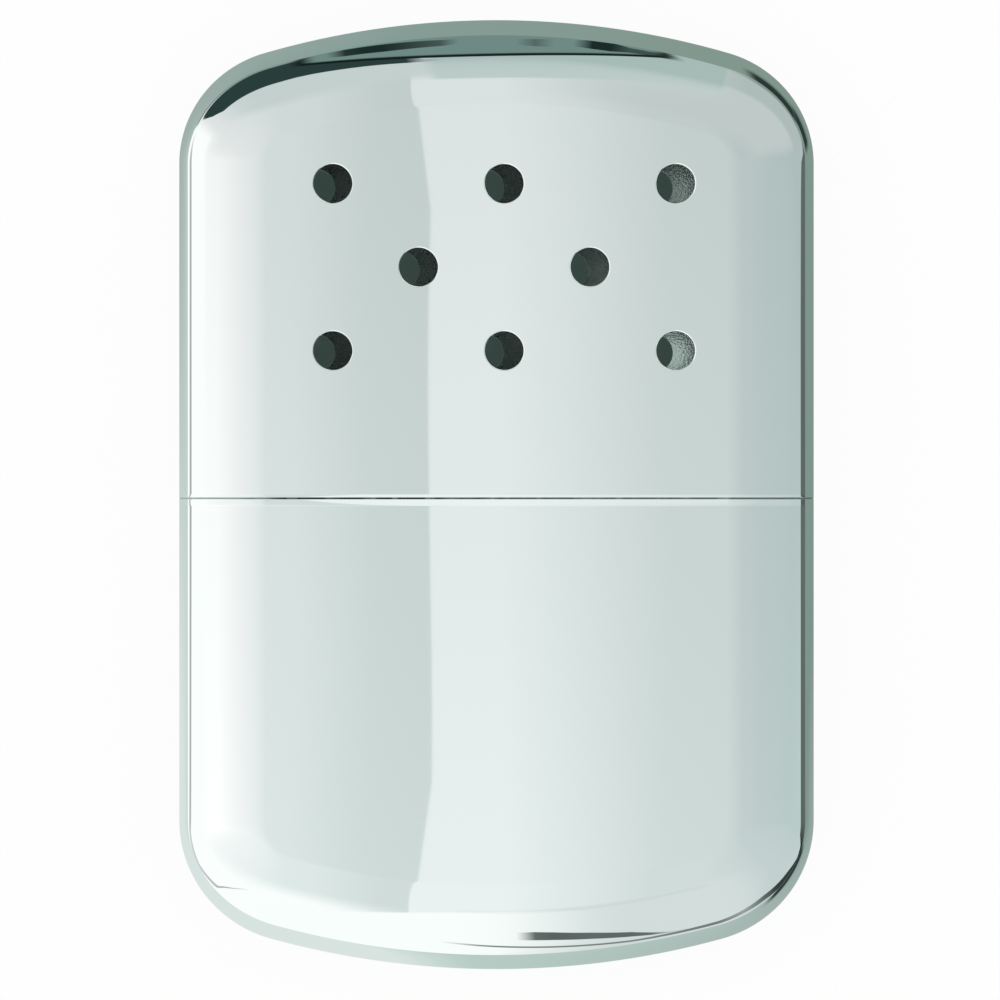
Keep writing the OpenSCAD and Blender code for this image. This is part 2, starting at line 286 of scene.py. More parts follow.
# %% Dark bands
BAND_SOFT = math.radians(1.2)
POLAR_MOST = 128.0
THICK_MOST = 24.0
CORNER_FLAG = [
    (95.3, 34, 1, 0.0), (96.3, 39, 6, 1.0), (100, 58, 19, 1.0), (105, 67, 20, 1.0), (130, 63, 21, 1.0),
    (138, 69, 14, 1.0), (143, 76, 5, 1.0), (145, 78, 2, 0.0),
]
HORIZON = [
    (-180, 76, 4.5, 0.6), (-170, 82, 4, 0.4), (-150, 88, 4, 0.4), (-134, 78, 4, 0.5), (-130, 60, 2, 0.6),
    (-121, 32, 1, 0.3), (-119, 30, 1, 0.0), (-94, 58, 2, 0.0), (-91, 64, 2, 0.8), (-80, 81, 2.5, 0.7),
    (-74, 82, 4, 0.75), (-64, 79, 5, 0.5), (-54, 78, 7, 0.8), (-46, 82, 8, 0.95), (-36, 86, 8, 0.95),
    (-26, 96, 9, 1.0), (-19, 92, 8, 1.0), (-12, 80, 10, 0.9), (2, 81, 13, 0.75), (9, 88, 7, 0.8),
    (20, 90, 3, 0.4), (60, 88, 4, 0.4), (74, 88, 2, 0.0), (152, 80, 2, 0.0), (170, 76, 4, 0.5),
    (180, 76, 4.5, 0.6),
]
WALL_STREAKS = [
    (76, 80, 4, 0.0), (77.5, 80, 6, 0.8), (80, 78, 5, 0.7), (80.8, 80, 12, 1.0), (83, 80, 12, 1.0),
    (84.3, 78, 8, 0.0), (85.8, 74, 11, 0.0), (86.3, 74, 11, 0.8), (87.5, 72, 9, 0.4), (88.2, 72, 8, 0.0),
    (93.6, 76, 6, 0.0), (94.2, 74, 8, 0.7), (98, 76, 10, 1.0), (101.2, 80, 9, 1.0), (102.2, 82, 6, 0.0),
]
FOOT_WEDGE = [
    (-88.3, 41, 9, 0.0), (-87.8, 41, 10, 0.85), (-86, 44, 9.5, 0.9), (-83, 52, 8, 0.85), (-80, 63, 6, 0.85),
    (-78, 74, 2, 0.8), (-77, 77, 1, 0.0),
]
FOOT_EDGE = [
    (-94, 16.5, 0.7, 0.0), (-92, 16.5, 0.7, 0.07), (-74, 17, 0.7, 0.06), (-68, 18, 0.7, 0.0),
]

round_way = add(sky, "MapRange", inputs={"Value": bearing, "From Min": -math.pi, "From Max": math.pi})


def band(stops):
    """The mask of a dark band that follows the stops round the horizon."""
    values = [((degrees + 180) / 360, (polar / POLAR_MOST, half / THICK_MOST, dark, 1))
              for degrees, polar, half, dark in stops]
    parts = add(sky, "SeparateColor", inputs={0: tone_ramp(sky, round_way.outputs[0], values)}).outputs
    centre = add(sky, "Math", {"operation": "MULTIPLY"}, {0: parts["Red"], 1: math.radians(POLAR_MOST)})
    away = add(sky, "Math", {"operation": "SUBTRACT"}, {0: from_top, 1: centre.outputs[0]})
    distance = add(sky, "Math", {"operation": "ABSOLUTE"}, {0: away.outputs[0]})
    thick = add(sky, "Math", {"operation": "MULTIPLY_ADD"}, {
        0: parts["Green"], 1: math.radians(THICK_MOST), 2: BAND_SOFT / 2})
    core = add(sky, "Math", {"operation": "SUBTRACT"}, {0: thick.outputs[0], 1: BAND_SOFT})
    inside = add(sky, "MapRange", {"interpolation_type": "SMOOTHSTEP"}, {
        "Value": distance.outputs[0], "From Min": thick.outputs[0], "From Max": core.outputs[0]})
    return add(sky, "Math", {"operation": "MULTIPLY"}, {0: inside.outputs[0], 1: parts["Blue"]}).outputs[0]


print("bands of", [len(stops) for stops in (CORNER_FLAG, HORIZON, WALL_STREAKS, FOOT_WEDGE, FOOT_EDGE)], "stops")

# %% [markdown]
# The far panel and the end wall stand behind the lid's end, and the tent at the foot is the same kind
# of card. Their top edges are arches: they are lowest at the sides, so the bands that they make along
# the rounded ends run straighter than the ends themselves. A dark line runs along the wall's edge.

# %% Arched cards and the bands
BELOW_TABLE = 120


def arched(middle, top, arch, low, high, soft, side_soft=1.5):
    """The mask of a card whose top edge falls by arch degrees per squared degree from its middle."""
    off = add(sky, "Math", {"operation": "SUBTRACT"}, {0: bearing, 1: math.radians(middle)})
    squared = add(sky, "Math", {"operation": "MULTIPLY"}, {0: off.outputs[0], 1: off.outputs[0]})
    sunk = add(sky, "Math", {"operation": "MULTIPLY_ADD"}, {
        0: squared.outputs[0], 1: -arch * 180 / math.pi, 2: from_top})
    wide = angles(bearing, low, high, side_soft)
    deep = angles(sunk.outputs[0], top, BELOW_TABLE, soft)
    return add(sky, "Math", {"operation": "MULTIPLY"}, {0: wide, 1: deep}).outputs[0]


lay(arched(-89, 16.3, 0.04, -112, -87, 1.2, 14), "#F8FEFC", "foot tent")
lay(arched(91, 17.5, 0.035, 72, 95.5, 1.5), "#BBCBC8", "far panel")
lay(arched(91, 29, 0.035, 72, 95.5, 20), "#A7BBB6", "far panel's foot")
lay(band(CORNER_FLAG), "#293D3A", "corner flag")
lay(arched(91.5, 38, 0.19, 77, 105, 1.5), "#141F1C", "end line")
lay(arched(91.5, 44, 0.19, 78, 104, 4), "#6F8984", "end wall")
lay(band(WALL_STREAKS), "#1B2C28", "wall streaks")
lay(band(FOOT_WEDGE), "#20332F", "foot wedge")
lay(band(FOOT_EDGE), "#20332F", "foot edge")
lay(band(HORIZON), "#15241F", "horizon")
print("five arched cards and five dark bands")

# %% [markdown]
# The tones above are written as they show in the chrome, so they are divided by the plate's own
# colour. The world's last node then chooses what a ray finds: glossy rays the studio, all others
# plain white.

# %% World output
as_shown = add(sky, "VectorMath", {"operation": "DIVIDE"}, {0: studio, 1: linear(PLATE)[:3]})
ray = add(sky, "LightPath")
seen = add(sky, "Mix", {"data_type": "RGBA"}, {
    "Factor": ray.outputs["Is Glossy Ray"], "A": (1, 1, 1, 1), "B": as_shown.outputs[0]})
background = add(sky, "Background", inputs={"Color": seen.outputs["Result"]})
add(sky, "OutputWorld", inputs={"Surface": background.outputs[0]})

# %% [markdown]
# ## The floor
#
# The case lies on a plain pale floor. The camera sees it lifted to white, as a lit table is in a
# catalogue photo, but not fully, so the floor keeps the case's shadow. The vents look straight
# through onto it. There a shell covers it and hardly any open sky is within reach, so the camera sees
# a painted shade there: the floor glows a dark grey green. Glossy rays see it lifted too, in the
# tones of what stands on the table just out of the picture: light along the left and the foot, a
# grey green along the right and the lid's end, and black cards that lie off the two right corners.

# %% Floor
FLOOR_HALF = 3.0
LIFT = 0.93
OPEN_REACH = 100 * MM
COVERED, UNCOVERED = 0.15, 0.4
TABLE_TONES = [
    (-180, "#CAD4D1"), (-150, "#DEE6E4"), (-101, "#E0E7E5"), (-93, "#BDD0C9"), (-60, "#ABB9B5"),
    (-20, "#83968F"), (60, "#86998F"), (100, "#8B9F99"), (140, "#A8B5B1"), (180, "#CAD4D1"),
]

bpy.ops.mesh.primitive_plane_add(size=2 * FLOOR_HALF, location=(0, 0, 0))
floor = bpy.context.object
floor.name = "floor"

paint = bpy.data.materials.new("white_studio_floor")
paint.use_nodes = True
tree = paint.node_tree
tree.nodes.clear()
spot = add(tree, "TexCoord").outputs["Object"]

open_sky = add(tree, "AmbientOcclusion", {"samples": 16}, {"Distance": OPEN_REACH})
open_floor = add(tree, "MapRange", {"interpolation_type": "SMOOTHSTEP"}, {
    "Value": open_sky.outputs["AO"], "From Min": COVERED, "From Max": UNCOVERED})
# painted shade: where the case covers the floor, the camera sees it glow dark grey green, elsewhere white
camera_tone = add(tree, "Mix", {"data_type": "RGBA"}, {
    "Factor": open_floor.outputs[0], "A": linear("#35443F"), "B": linear("#FFFFFF")})


def polar(centre):
    """The bearing, from 0 to 1 round the full turn, and the distance of a floor point from a centre."""
    moved = add(tree, "VectorMath", {"operation": "SUBTRACT"}, {0: spot, 1: centre})
    place = add(tree, "SeparateXYZ", inputs={0: moved.outputs[0]})
    angle = add(tree, "Math", {"operation": "ARCTAN2"}, {0: place.outputs["Y"], 1: place.outputs["X"]})
    turn = add(tree, "MapRange", inputs={
        "Value": angle.outputs[0], "From Min": -math.pi, "From Max": math.pi})
    distance = add(tree, "VectorMath", {"operation": "LENGTH"}, {0: moved.outputs[0]})
    return turn.outputs[0], distance.outputs["Value"]


turn, distance = polar((0, 0, 0))
table = tone_ramp(tree, turn, [((degrees + 180) / 360, tone) for degrees, tone in TABLE_TONES])

# each black card: the corner's centre, its bearings, and how near and far it lies from there
CARD_SOFT = 8
NEAR_SOFT = 0.6
BLACK_CARDS = [
    ((21 * MM, 37 * MM, 0), 8, 32, 29 * MM, 100 * MM),
    ((21 * MM, 37 * MM, 0), 30, 63, 36 * MM, 300 * MM),
    ((20 * MM, -37 * MM, 0), -50, -16, 62 * MM, 900 * MM),
]
for centre, low, high, near, far in BLACK_CARDS:
    turn, distance = polar(centre)
    wide = window(tree, turn, (low + 180) / 360, (high + 180) / 360, CARD_SOFT / 360)
    deep = window(tree, distance, near, far, near * NEAR_SOFT)
    mask = add(tree, "Math", {"operation": "MULTIPLY"}, {0: wide, 1: deep})
    table = add(tree, "Mix", {"data_type": "RGBA"}, {
        "Factor": mask.outputs[0], "A": table, "B": linear("#2A3A36")}).outputs["Result"]

ray = add(tree, "LightPath").outputs
clear = add(tree, "Math", {"operation": "MAXIMUM"}, {
    0: ray["Is Camera Ray"], 1: ray["Is Transmission Ray"]})
shown = add(tree, "Math", {"operation": "MAXIMUM"}, {0: clear.outputs[0], 1: ray["Is Glossy Ray"]})
amount = add(tree, "Math", {"operation": "MULTIPLY"}, {0: shown.outputs[0], 1: LIFT})
look = add(tree, "Mix", {"data_type": "RGBA"}, {
    "Factor": ray["Is Glossy Ray"], "A": camera_tone.outputs["Result"], "B": table})
matt_tone = add(tree, "Mix", {"data_type": "RGBA"}, {
    "Factor": ray["Is Glossy Ray"], "A": linear("#F2F4F4"), "B": table})
matt = add(tree, "BsdfDiffuse", inputs={"Color": matt_tone.outputs["Result"]})
glow = add(tree, "Emission", inputs={"Color": look.outputs["Result"], "Strength": 1.0})
mixed = add(tree, "MixShader", inputs={0: amount.outputs[0], 1: matt.outputs[0], 2: glow.outputs[0]})
add(tree, "OutputMaterial", inputs={"Surface": mixed.outputs[0]})
floor.data.materials.append(paint)
print("floor", 2 * FLOOR_HALF, "m wide, with", len(BLACK_CARDS), "black cards")

# %% [markdown]
# ## Chrome
#
# The shells are brass or steel, polished, then plated with nickel and chromium. Chromium is a cool,
# slightly blue-green mirror. The plate follows the sheet under it, and a drawn sheet is never quite
# flat: it swells by a few thousandths of a millimetre over a centimetre or two, which makes a
# straight reflection wander. A shallow bump with that wavelength gives it. A second bump gives the
# slight curl that trimming leaves along both rims.

# %% Chrome material
def new_material(name):
    made = bpy.data.materials.new(name)
    made.use_nodes = True
    made.node_tree.nodes.clear()
    return made, made.node_tree


# each rim: its side of the seam, how far the curl reaches and its slope at the rim
ROLLS = [(1, 0.4 * MM, 0.1), (-1, 0.8 * MM, 0.1)]
ROLL_POWER = 1.3


def rolled(tree, spot, bump):
    """The normal of the plate near the seam, where trimming has curled both rims towards the foot."""
    place = add(tree, "SeparateXYZ", inputs={0: spot})
    height = 0.0
    for way, length, slope in ROLLS:
        away = add(tree, "MapRange", inputs={
            "Value": place.outputs["Y"], "From Min": seam_y, "From Max": seam_y + way * length,
            "To Min": 1.0, "To Max": 0.0})
        curl = add(tree, "Math", {"operation": "POWER"}, {0: away.outputs[0], 1: ROLL_POWER})
        rise = -way * slope * length / ROLL_POWER
        height = add(tree, "Math", {"operation": "MULTIPLY_ADD"}, {
            0: curl.outputs[0], 1: rise, 2: height}).outputs[0]
    return add(tree, "Bump", inputs={
        "Height": height, "Distance": 1.0, "Strength": 1.0, "Normal": bump.outputs[0]}).outputs[0]


SWELL_LENGTH = 38 * MM
SWELL_HEIGHT = 0.03 * MM
HAZE_GRAIN = 0.35 * MM
MIRROR_ROUGH = (0.004, 0.012)

chrome, tree = new_material("polished_chrome_plate")
spot = add(tree, "TexCoord").outputs["Object"]
swell = add(tree, "TexNoise", inputs={"Vector": spot, "Scale": 1 / SWELL_LENGTH, "Detail": 0.0})
haze = add(tree, "TexNoise", inputs={"Vector": spot, "Scale": 1 / HAZE_GRAIN, "Detail": 3.0})
rough = add(tree, "MapRange", inputs={
    "Value": haze.outputs["Fac"], "From Min": 0.3, "From Max": 0.7,
    "To Min": MIRROR_ROUGH[0], "To Max": MIRROR_ROUGH[1]})
bump = add(tree, "Bump", inputs={"Height": swell.outputs["Fac"], "Distance": SWELL_HEIGHT, "Strength": 1.0})
metal = add(tree, "BsdfPrincipled", inputs={
    "Base Color": linear(PLATE), "Metallic": 1.0, "Roughness": rough.outputs[0],
    "Normal": rolled(tree, spot, bump)})
add(tree, "OutputMaterial", inputs={"Surface": metal.outputs[0]})

# %% [markdown]
# The inside of a drawn shell isn't polished. It keeps the dull grey green of the drawing press under
# a thin flash of plate. Its grain is coarse, and smoother and more metallic to the right, where the
# polishing wheel reached in. Its colour is painted brighter the same way: painted light, standing in
# for the light that falls in through the front vents.

# %% Dull inside of the shells
STREAK = 3 * MM
PRESS_GRAIN = 0.22 * MM
GRAIN_DEPTH = 0.05 * MM
POLISH_AND_LIGHT_WAY = (1.0, -0.35, 0)
POLISH_AND_LIGHT_FROM, POLISH_AND_LIGHT_TO = -6 * MM, 15 * MM

dull, tree = new_material("unpolished_drawn_inside")
spot = add(tree, "TexCoord").outputs["Object"]
streaks = add(tree, "TexNoise", inputs={"Vector": spot, "Scale": 1 / STREAK, "Detail": 5.0})
shade = add(tree, "Mix", {"data_type": "RGBA"}, {
    "Factor": streaks.outputs["Fac"], "A": linear("#8FA59E"), "B": linear("#B2C4BE")})
# the polish and the painted light both rise along this way
toward = add(tree, "VectorMath", {"operation": "DOT_PRODUCT"}, {0: spot, 1: POLISH_AND_LIGHT_WAY})
polish_and_painted_light = add(tree, "MapRange", {"interpolation_type": "SMOOTHSTEP"}, {
    "Value": toward.outputs["Value"], "From Min": POLISH_AND_LIGHT_FROM, "From Max": POLISH_AND_LIGHT_TO})
# painted light: the base colour brightens towards the right
painted_light_tone = add(tree, "Mix", {"data_type": "RGBA"}, {
    "Factor": polish_and_painted_light.outputs[0], "A": shade.outputs["Result"], "B": linear("#D4E4DE")})
metallic = add(tree, "MapRange", inputs={"Value": polish_and_painted_light.outputs[0], "To Min": 0.35, "To Max": 1.0})
rough = add(tree, "MapRange", inputs={"Value": polish_and_painted_light.outputs[0], "To Min": 0.5, "To Max": 0.2})
depth = add(tree, "MapRange", inputs={"Value": polish_and_painted_light.outputs[0], "To Min": 1.0, "To Max": 0.3})
grain = add(tree, "TexNoise", inputs={"Vector": spot, "Scale": 1 / PRESS_GRAIN, "Detail": 2.0})
bump = add(tree, "Bump", inputs={
    "Height": grain.outputs["Fac"], "Distance": GRAIN_DEPTH, "Strength": depth.outputs[0]})
metal = add(tree, "BsdfPrincipled", inputs={
    "Base Color": painted_light_tone.outputs["Result"], "Metallic": metallic.outputs[0],
    "Roughness": rough.outputs[0], "Normal": bump.outputs[0]})
add(tree, "OutputMaterial", inputs={"Surface": metal.outputs[0]})

# %% [markdown]
# The trimmed edge of each rim, in the seam between the two shells, is painted dark: a painted shade
# in the groove. It is darkest left of the middle, lighter at the far left and broken up towards the right.

# %% Painted shade in the seam
SEAM_SHADE_REACH = 33
SEAM_SHADE_PATCH = 1.6 * MM
SEAM_SHADE_TONES = [
    (-33, "#B9C8C4"), (-27, "#A5B4B0"), (-22, "#26322F"), (-7, "#26322F"), (2, "#5C6B67"),
    (33, "#6B7A76"),
]

# a material of painted shade for the rims' trimmed edges in the seam
seam_shade_paint, tree = new_material("painted_shade_in_the_seam")
spot = add(tree, "TexCoord").outputs["Object"]
place = add(tree, "SeparateXYZ", inputs={0: spot})
along_seam = add(tree, "MapRange", inputs={
    "Value": place.outputs["X"], "From Min": -SEAM_SHADE_REACH * MM, "From Max": SEAM_SHADE_REACH * MM})
# painted shade along the seam, darkest left of the middle
seam_shade_tone = tone_ramp(tree, along_seam.outputs[0], [
    ((x + SEAM_SHADE_REACH) / (2 * SEAM_SHADE_REACH), tone) for x, tone in SEAM_SHADE_TONES])
patches = add(tree, "TexNoise", inputs={"Vector": spot, "Scale": 1 / SEAM_SHADE_PATCH, "Detail": 3.0})
# lighter patches break the painted shade up
shade_breaks = add(tree, "MapRange", inputs={
    "Value": patches.outputs["Fac"], "From Min": 0.5, "From Max": 0.68, "To Min": 0.0, "To Max": 0.6})
shade = add(tree, "Mix", {"data_type": "RGBA"}, {
    "Factor": shade_breaks.outputs[0], "A": seam_shade_tone, "B": linear("#A5B4B0")})
coat = add(tree, "BsdfPrincipled", inputs={"Base Color": shade.outputs["Result"], "Roughness": 0.8})
add(tree, "OutputMaterial", inputs={"Surface": coat.outputs[0]})

# %% [markdown]
# ## A grid that takes any shape
#
# A mirror shows every fault of a mesh, so the shells need rows and columns that follow the real
# arcs. A grid primitive is added and each of its points is moved to the place that a small function
# gives: where the point is round the outline, and where it is across the section. Operators can't
# bend a grid along two arcs at once, and this can.

# %% Grid helper
def leave_facing_out():
    """Turns every face of the piece in edit mode outwards and leaves edit mode."""
    bpy.ops.mesh.select_all(action="SELECT")
    bpy.ops.mesh.normals_make_consistent(inside=False)
    bpy.ops.object.mode_set(mode="OBJECT")


def shaped_grid(name, around, across, place, wrap=False):
    """A grid of around by across points, each moved to place(i, j)."""
    bpy.ops.mesh.primitive_grid_add(x_subdivisions=around - 1, y_subdivisions=across - 1, size=1)
    grid = bpy.context.object
    grid.name = grid.data.name = name
    for vertex in grid.data.vertices:
        i = round((vertex.co.x + 0.5) * (around - 1))
        j = round((vertex.co.y + 0.5) * (across - 1))
        vertex.co = place(i, j)
    grid.data.update()
    if wrap:
        bpy.ops.object.mode_set(mode="EDIT")
        bpy.ops.mesh.select_all(action="SELECT")
        bpy.ops.mesh.remove_doubles(threshold=1e-7)
        leave_facing_out()
    return grid


# %% [markdown]
# ## The section and the outline of the case
#
# Going in from the case's edge, the section is an arc and then a shallow parabola up to the flat of
# the face. The arc is tight along the two sides and grows through the corners to nearly a full round
# at the two ends. The outline is a straight side, a corner arc and the arch of the end.

# %% Section and outline
EDGE_STEPS = 26
BORDER_STEPS = 18
CORNER_STEPS = 26
ARCH_STEPS = 34
SIDE_STEPS = 10
RIM_ROW = 0.2 * MM


def section(edge_r, inset=0.0):
    """Points from the flat of the back round the edge to the flat of the front, (inward, up)."""
    face = half_t - inset
    r = edge_r - inset
    slope = math.atan(2 * CROWN / (BORDER - inset - r))
    for _ in range(8):
        lip = inset + r * (1 - math.sin(slope))
        slope = math.atan(2 * CROWN / (BORDER - lip))
    centre = face - CROWN - r * math.cos(slope)
    half = []
    for k in range(EDGE_STEPS + 1):
        a = (math.pi / 2 - slope) * k / EDGE_STEPS
        half.append((inset + r * (1 - math.cos(a)), centre + r * math.sin(a)))
    for k in range(1, BORDER_STEPS + 1):
        t = k / BORDER_STEPS
        half.append((lip + (BORDER - lip) * t, face - CROWN * (1 - t) ** 2))
    return [(inward, -up) for inward, up in reversed(half)] + half


def outline(end):
    """Points from the right foot over the end to the left foot: (x, y, facing angle, edge growth)."""
    corner_r, arch_r = end["corner_r"], end["arch_r"]
    corner_x = half_w - corner_r
    arch_y = end["height"] - arch_r
    corner_y = arch_y + math.sqrt((arch_r - corner_r) ** 2 - corner_x ** 2)
    span = math.asin(corner_x / (arch_r - corner_r))
    turn = math.pi / 2 - span
    feet = [0.0, RIM_ROW] + [corner_y * k / SIDE_STEPS for k in range(1, SIDE_STEPS)]
    right = [(half_w, y, 0.0, 0.0) for y in feet]
    for k in range(CORNER_STEPS):
        a = turn * k / CORNER_STEPS
        x, y = corner_x + corner_r * math.cos(a), corner_y + corner_r * math.sin(a)
        right.append((x, y, a, k / CORNER_STEPS))
    for k in range(ARCH_STEPS // 2 + 1):
        a = turn + 2 * span * k / ARCH_STEPS
        right.append((arch_r * math.cos(a), arch_y + arch_r * math.sin(a), a, 1.0))
    left = [(-x, y, math.pi - a, grown) for x, y, a, grown in reversed(right[:-1])]
    return right + left


print("section of", len(section(SIDE_EDGE_R)), "points, outline of", len(outline(LID)))


# %% [markdown]
# ## Drawing a shell
#
# The grid makes the belt of a shell: its edge and the crowned border of both faces. The two flats
# are then filled with one face each, ringed by a narrow inset so that their shading is dead flat.
# Solidify gives the sheet its thickness, and its inner side takes the dull material.

# %% Shell helper
RIM_BEVEL = 0.1 * MM
FLAT_RING = 0.12 * MM


def select_only(*pieces):
    """Leaves just these pieces selected, with the first one active."""
    bpy.ops.object.select_all(action="DESELECT")
    for piece in pieces:
        piece.select_set(True)
    bpy.context.view_layer.objects.active = pieces[0]


def edit(piece):
    """Opens the piece in edit mode with nothing selected."""
    select_only(piece)
    bpy.ops.object.mode_set(mode="EDIT")
    bpy.ops.mesh.select_all(action="DESELECT")


def pick(piece, kind, wanted):
    """In edit mode, selects the points, edges or faces that pass the test, and counts them."""
    bpy.ops.mesh.select_mode(type=kind)
    bpy.ops.mesh.select_all(action="DESELECT")
    cage = bmesh.from_edit_mesh(piece.data)
    parts = {"VERT": cage.verts, "EDGE": cage.edges, "FACE": cage.faces}[kind]
    chosen = [part for part in parts if wanted(part)]
    for part in chosen:
        part.select_set(True)
    cage.select_flush_mode()
    bmesh.update_edit_mesh(piece.data)
    return len(chosen)


def apply_modifier(piece, kind, **settings):
    bpy.context.view_layer.objects.active = piece
    modifier = piece.modifiers.new(kind, kind)
    for name, value in settings.items():
        setattr(modifier, name, value)
    bpy.ops.object.modifier_apply(modifier=modifier.name)


def cut(piece, cutters):
    """Takes a list of cutters out of the piece in one go."""
    select_only(*cutters)
    bpy.ops.object.join()
    cutter = bpy.context.object
    apply_modifier(piece, "BOOLEAN", operation="DIFFERENCE", object=cutter, solver="EXACT")
    bpy.data.objects.remove(cutter)


def section_at(end, grown):
    """The section where the edge has grown by a share, from 0 at the sides to 1 at the arched end."""
    eased = grown * grown * (3 - 2 * grown)
    return section(SIDE_EDGE_R + (end["edge_r"] - SIDE_EDGE_R) * eased)


def drawn_shell(name, end, toward):
    rim = outline(end)
    sections = [section_at(end, grown) for *_, grown in rim]

    def place(i, j):
        x, y, a, _ = rim[i]
        inward, up = sections[i][j]
        y_in = y - inward * math.sin(a)
        return Vector((x - inward * math.cos(a), seam_y + toward * y_in, mid_z + up))

    shell = shaped_grid(name, len(rim), len(sections[0]), place)
    bpy.ops.object.shade_smooth()
    edit(shell)
    for side in (-1, 1):
        flat_z = mid_z + side * half_t
        pick(shell, "EDGE", lambda line: line.is_boundary and all(
            abs(v.co.z - flat_z) < 1e-7 for v in line.verts))
        bpy.ops.mesh.edge_face_add()
        bpy.ops.mesh.inset(thickness=FLAT_RING, use_boundary=True)
        bpy.ops.mesh.faces_shade_flat()
    leave_facing_out()
    for material in (chrome, dull, seam_shade_paint):
        shell.data.materials.append(material)
    apply_modifier(shell, "SOLIDIFY", thickness=SHEET, offset=-1, use_even_offset=True, material_offset=1,
                   material_offset_rim=0)
    return shell


# %% [markdown]
# ## The lid
#
# The vents are pierced after drawing, three rows on each face, with a punch that leaves a slightly
# rounded edge. Both faces carry the same pattern, each set a little to its own right. A cutter of
# short cylinders is joined into one piece and taken out of the shell.

# %% The lid's skin
VENT_R = 2.0 * MM
VENT_PITCH = 17.76 * MM
ROW_PITCH = 8.66 * MM
FIRST_ROW = 15.3 * MM
VENT_SHIFT = {1: 0.8 * MM, -1: -1.2 * MM}
VENT_BEVEL = 0.12 * MM
VENT_SIDES = 96

vents = []
for face, shift in VENT_SHIFT.items():
    for row, count in enumerate((3, 2, 3)):
        for k in range(count):
            x = shift + (k - (count - 1) / 2) * VENT_PITCH
            vents.append((x, seam_y + FIRST_ROW + row * ROW_PITCH, mid_z + face * half_t))

lid_skin = drawn_shell("lid_skin", LID, 1)
cutters = []
for vent in vents:
    bpy.ops.mesh.primitive_cylinder_add(
        vertices=VENT_SIDES, radius=VENT_R, depth=4 * SHEET, location=vent)
    bpy.ops.object.shade_smooth()
    cutters.append(bpy.context.object)
cut(lid_skin, cutters)
print("lid with", len(vents), "vents,", len(lid_skin.data.polygons), "faces")


# %% Round the lid's rim and the vents' edges
def on_rim(line):
    """An edge that runs round the rim, at the seam."""
    return all(abs(v.co.y - seam_y) < 1e-6 for v in line.verts) and all(
        abs(face.normal.y) < 0.5 or abs(face.normal.y) > 0.9 for face in line.link_faces) and (
        len({abs(face.normal.y) > 0.9 for face in line.link_faces}) == 2)


def on_vent(line):
    """An edge between a vent's wall and the outer flat of a face."""
    normals = sorted(abs(face.normal.z) for face in line.link_faces)
    outer = all(abs(abs(v.co.z - mid_z) - half_t) < 1e-6 for v in line.verts)
    return outer and normals[0] < 0.1 and normals[-1] > 0.9


edit(lid_skin)
print("rim edges", pick(lid_skin, "EDGE", on_rim))
# the rim's bevel takes the third material, the seam's painted shade
bpy.ops.mesh.bevel(offset=RIM_BEVEL, segments=3, profile=0.5, material=2)
print("vent edges", pick(lid_skin, "EDGE", on_vent))
bpy.ops.mesh.bevel(offset=VENT_BEVEL, segments=3, profile=0.5)
bpy.ops.object.mode_set(mode="OBJECT")
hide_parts("lid_shell")
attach(lid_skin, "lid")

# %% [markdown]
# ## The tank
#
# The tank's shell is drawn like the lid's, without vents.

# %% The tank's skin
tank_skin = drawn_shell("tank_skin", TANK, -1)
edit(tank_skin)
print("rim edges", pick(tank_skin, "EDGE", on_rim))
# the rim's bevel takes the third material, the seam's painted shade
bpy.ops.mesh.bevel(offset=RIM_BEVEL, segments=3, profile=0.5, material=2)
bpy.ops.object.mode_set(mode="OBJECT")
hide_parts("tank_shell")
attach(tank_skin, "tank")

# %% [markdown]
# ## Tools for pressed parts
#
# The mouth and the burner are pressed from sheet on an oblong: a rectangle with two half-round
# ends. It is made as by hand: a cylinder lies down along Y, and its two halves are pulled apart. A
# cap is then inset and extruded in steps, and two caps bridged into a through hole.

# %% Oblong, steps and holes
ROUND_STEPS = 64
SHARP = math.radians(40)


def oblong(name, length, width, low_y, high_y):
    """A solid with half-round ends that stands along Y, left in edit mode."""
    bpy.ops.mesh.primitive_cylinder_add(
        vertices=ROUND_STEPS, radius=width / 2, depth=high_y - low_y,
        location=(0, (low_y + high_y) / 2, mid_z), rotation=(-math.pi / 2, math.pi / ROUND_STEPS, 0))
    piece = bpy.context.object
    piece.name = piece.data.name = name
    bpy.ops.object.transform_apply(location=True, rotation=True, scale=True)
    edit(piece)
    for side in (-1, 1):
        pick(piece, "VERT", lambda point: point.co.x * side > 0)
        bpy.ops.transform.translate(value=(side * (length - width) / 2, 0, 0))
    return piece


def cap(piece, facing):
    """Selects the innermost cap on the top, facing 1, or on the foot, facing -1."""
    return pick(piece, "FACE", lambda face: len(face.verts) > 4 and face.normal.y * facing > 0.9)


def step(inset, rise=0.0):
    """Insets the selected cap by a width and carries it along Y."""
    if inset:
        bpy.ops.mesh.inset(thickness=inset, use_even_offset=True)
    if rise:
        bpy.ops.mesh.extrude_region_move(TRANSFORM_OT_translate={"value": (0, rise, 0)})


def open_through(piece):
    """Bridges the two innermost caps into a hole and leaves edit mode."""
    pick(piece, "FACE", lambda face: len(face.verts) > 4)
    bpy.ops.mesh.bridge_edge_loops()
    leave_facing_out()


def finish_pressed(piece, width, node, body, material):
    """Rounds a pressed part's edges, gives it its material and puts it in its node's place."""
    piece.data.materials.clear()
    piece.data.materials.append(material)
    apply_modifier(piece, "BEVEL", width=width, segments=2, limit_method="ANGLE", angle_limit=SHARP)
    select_only(piece)
    bpy.ops.object.shade_smooth_by_angle(angle=SHARP)
    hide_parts(node)
    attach(piece, body)
    print(piece.name, "has", len(piece.data.polygons), "faces")


# %% [markdown]
# ## Nickel plate
#
# The mouth and the burner are brass with a nickel plate. Nickel is a warmer, yellower mirror than
# chromium, and the plate over a pressed part is satin: the tool leaves hair-fine marks along the
# sheet. A noise stretched along the case draws them.

# %% Nickel material
MARK_WIDTH = 0.08 * MM

